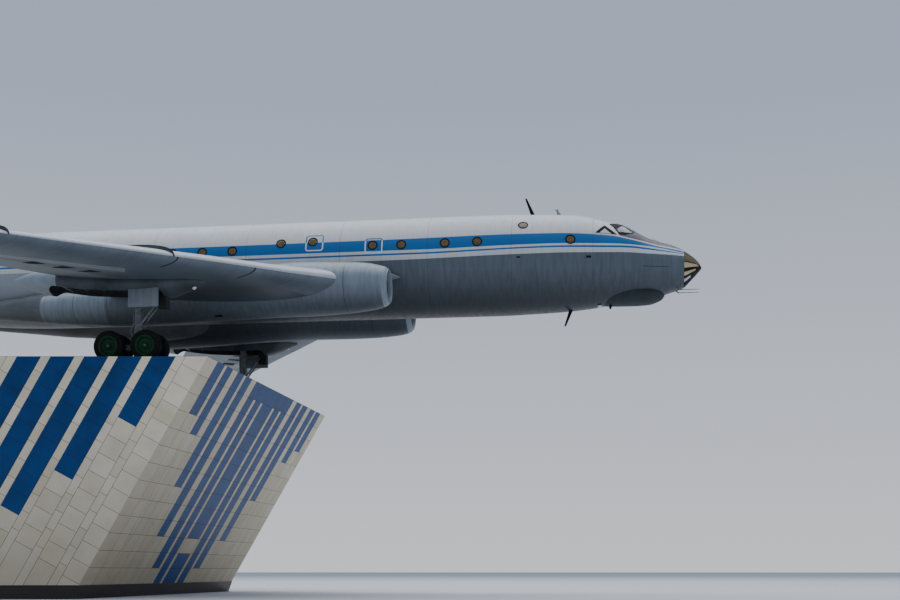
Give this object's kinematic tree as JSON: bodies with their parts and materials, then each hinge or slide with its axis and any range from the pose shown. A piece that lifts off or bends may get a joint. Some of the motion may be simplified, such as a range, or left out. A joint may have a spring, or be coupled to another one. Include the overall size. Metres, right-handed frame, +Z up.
{
  "type": "narrow body airliner on a plinth",
  "caption": "Swept-wing airliner with glazed nose and wing-root engines, standing on its main gear on a tiled plinth with a leaning front.",
  "frame": {"origin": "on the ground under the middle of the aircraft's length and span", "axes": "+X to the nose, +Y to the left wing tip, +Z up"},
  "size_m": [38.85, 34.54, 19.479],
  "materials": {
    "tile": "satin",
    "granite": "satin",
    "glazing": "gloss",
    "skin_grey": "satin",
    "skin_white": "satin",
    "skin_pale": "satin",
    "radome": "satin",
    "engine_metal": "matte",
    "gear_paint": "satin",
    "gear_steel": "satin",
    "hub_green": "satin",
    "tyre_rubber": "matte"
  },
  "bodies": {
    "airframe_and_plinth": {"plinth_body": "tile", "plinth_skirting": "granite", "nose_glazing": "glazing", "cockpit_section": "skin_grey", "fuselage_front": "skin_grey", "fuselage_centre": "skin_grey", "fuselage_rear": "skin_grey", "tail_cone": "skin_grey", "chin_radome": "radome", "dorsal_fillet": "skin_white", "fin": "skin_white", "stabiliser_right": "skin_grey", "stabiliser_left": "skin_grey", "wing_right": "skin_grey", "wing_left": "skin_grey", "flap_outer_right": "skin_pale", "flap_outer_left": "skin_pale", "flap_inner_right": "skin_pale", "flap_inner_left": "skin_pale", "nacelle_right": "skin_grey", "nacelle_left": "skin_grey", "engine_right": "engine_metal", "engine_left": "engine_metal", "gear_pod_right": "skin_grey", "gear_pod_left": "skin_grey", "leg_right": "gear_paint", "leg_left": "gear_paint", "leg_door_right": "skin_pale", "leg_door_left": "skin_pale", "drag_brace_right": "gear_steel", "drag_brace_left": "gear_steel", "bogie_beam_right": "gear_steel", "bogie_beam_left": "gear_steel", "mast_upper": "skin_pale", "mast_lower": "skin_pale"},
    "rudder": {"rudder": "skin_white"},
    "aileron_right": {"aileron_right": "skin_grey"},
    "aileron_left": {"aileron_left": "skin_grey"},
    "elevator_right": {"elevator_right": "skin_grey"},
    "elevator_left": {"elevator_left": "skin_grey"},
    "wheels_front_right": {"wheels_front_right": "hub_green", "tyre_front_inner_right": "tyre_rubber", "tyre_front_outer_right": "tyre_rubber"},
    "wheels_rear_right": {"wheels_rear_right": "hub_green", "tyre_rear_inner_right": "tyre_rubber", "tyre_rear_outer_right": "tyre_rubber"},
    "wheels_front_left": {"wheels_front_left": "hub_green", "tyre_front_inner_left": "tyre_rubber", "tyre_front_outer_left": "tyre_rubber"},
    "wheels_rear_left": {"wheels_rear_left": "hub_green", "tyre_rear_inner_left": "tyre_rubber", "tyre_rear_outer_left": "tyre_rubber"}
  },
  "joints": [
    {"name": "rudder_hinge", "type": "hinge", "parent": "airframe_and_plinth", "child": "rudder", "pos_m": [-15.8, 0, 13.509], "axis": [-0.3206, 0, 0.9472], "range_deg": [-25, 25]},
    {"name": "aileron_right_hinge", "type": "hinge", "parent": "airframe_and_plinth", "child": "aileron_right", "pos_m": [-2.89, -11.95, 10.09305], "axis": [0.4993, 0.8648, 0.0533], "range_deg": [-20, 20]},
    {"name": "aileron_left_hinge", "type": "hinge", "parent": "airframe_and_plinth", "child": "aileron_left", "pos_m": [-2.89, 11.95, 10.09305], "axis": [-0.4993, 0.8648, -0.0533], "range_deg": [-20, 20]},
    {"name": "elevator_right_hinge", "type": "hinge", "parent": "airframe_and_plinth", "child": "elevator_right", "pos_m": [-15.25, -1.25, 12.459], "axis": [0.4695, 0.8829, 0], "range_deg": [-20, 28]},
    {"name": "elevator_left_hinge", "type": "hinge", "parent": "airframe_and_plinth", "child": "elevator_left", "pos_m": [-15.25, 1.25, 12.459], "axis": [-0.4695, 0.8829, 0], "range_deg": [-20, 28]},
    {"name": "wheels_front_right_axle", "type": "hinge", "parent": "airframe_and_plinth", "child": "wheels_front_right", "pos_m": [1.625, -5.66, 8.097], "axis": [0, 1, 0], "continuous": true},
    {"name": "wheels_rear_right_axle", "type": "hinge", "parent": "airframe_and_plinth", "child": "wheels_rear_right", "pos_m": [0.395, -5.66, 8.097], "axis": [0, 1, 0], "continuous": true},
    {"name": "wheels_front_left_axle", "type": "hinge", "parent": "airframe_and_plinth", "child": "wheels_front_left", "pos_m": [1.625, 5.66, 8.097], "axis": [0, 1, 0], "continuous": true},
    {"name": "wheels_rear_left_axle", "type": "hinge", "parent": "airframe_and_plinth", "child": "wheels_rear_left", "pos_m": [0.395, 5.66, 8.097], "axis": [0, 1, 0], "continuous": true}
  ],
  "couplings": [
    {"joint": "aileron_left_hinge", "follows": "aileron_right_hinge", "ratio": -1},
    {"joint": "elevator_left_hinge", "follows": "elevator_right_hinge", "ratio": 1}
  ]
}
